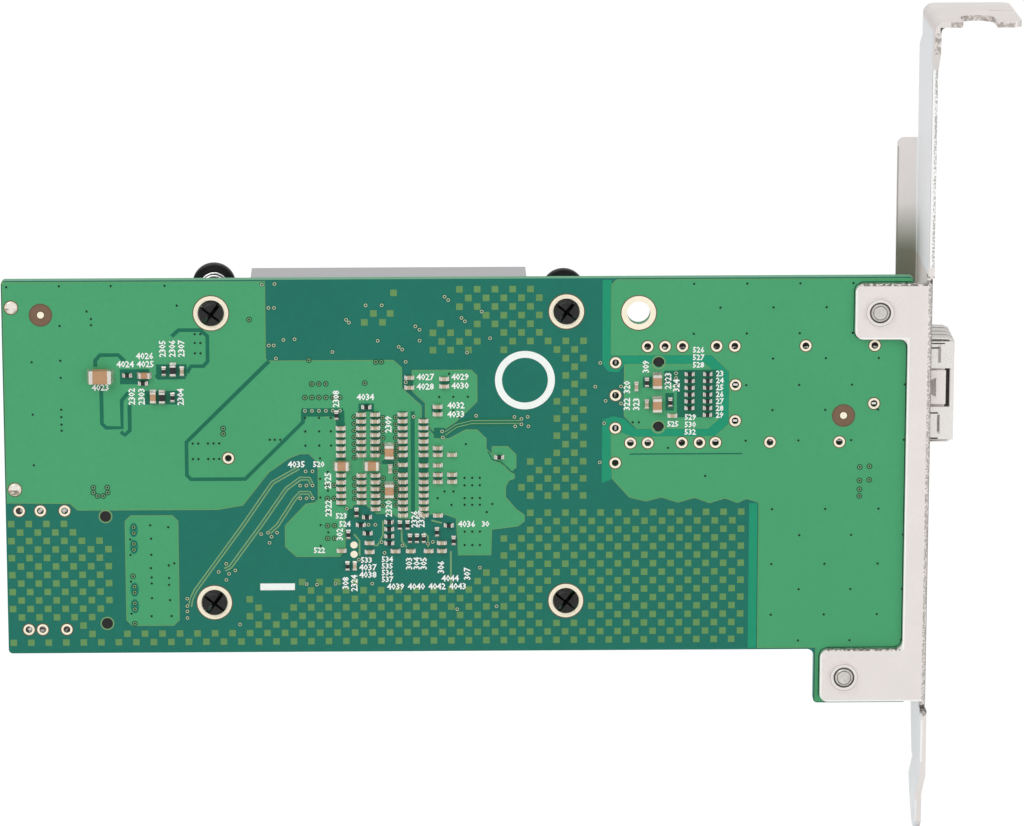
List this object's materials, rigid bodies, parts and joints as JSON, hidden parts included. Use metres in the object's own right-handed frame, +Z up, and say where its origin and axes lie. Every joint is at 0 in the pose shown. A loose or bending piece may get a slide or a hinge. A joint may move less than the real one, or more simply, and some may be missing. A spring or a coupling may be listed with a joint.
{
  "type": "network interface card",
  "caption": "Expansion card with a full-height slot bracket, one caged module port, a finned heat sink on sprung push pins and small chip parts on the solder side.",
  "frame": {"origin": "on the underside of the bracket's tab, level with the screw notch's middle, 6 mm behind the board's solder face", "axes": "+X along the board and out through the bracket, +Y from the solder side into the component side, +Z up along the bracket towards its tab"},
  "size_m": [0.1447, 0.0216, 0.1201],
  "materials": {
    "board": "solder mask over glass laminate",
    "gold_plating": "thin gold plating",
    "bracket_steel": "plain plated steel",
    "screw_steel": "plated screw",
    "cage_steel": "plated sheet",
    "collar_steel": "bright spring steel",
    "black_plastic": "moulded",
    "contact_gold": "gold flash",
    "sink_aluminium": "extruded, anodised grey",
    "spring_steel": "bright wire",
    "pad_rubber": "soft pad",
    "substrate_green": "laminate",
    "lid_metal": "nickel plated",
    "solder": "bright solder",
    "cream_plastic": "moulded",
    "capacitor_ceramic": "fired ceramic",
    "resistor_black": "glazed film",
    "package_black": "moulded package",
    "coil_grey": "pressed powder",
    "lamp_white": "lamp body",
    "clear_plastic": "clear moulding"
  },
  "bodies": {
    "root": {"board": "board", "plated_rings": "gold_plating", "slot_bracket": "bracket_steel", "bracket_screws": "screw_steel", "cage_shell": "cage_steel", "cage_bottom_cover": "cage_steel", "cage_spring_collar": "collar_steel", "port_connector": "black_plastic", "port_contacts": "contact_gold", "heat_sink": "sink_aluminium", "push_pins": "black_plastic", "push_pin_springs": "spring_steel", "thermal_pad": "pad_rubber", "controller_substrate": "substrate_green", "controller_lid": "lid_metal", "solder_balls": "solder", "data_connector_shell": "cage_steel", "data_connector_housing": "black_plastic", "data_connector_contacts": "contact_gold", "side_header": "cream_plastic", "side_header_pins": "contact_gold", "header_board_locks": "solder", "ceramic_capacitors": "capacitor_ceramic", "chip_resistors": "resistor_black", "chip_packages": "package_black", "chip_leads": "solder", "power_coils": "coil_grey", "coil_ends": "solder", "crystal_can": "lid_metal", "link_lamps": "lamp_white", "lamp_light_pipe": "clear_plastic"}
  },
  "joints": []
}
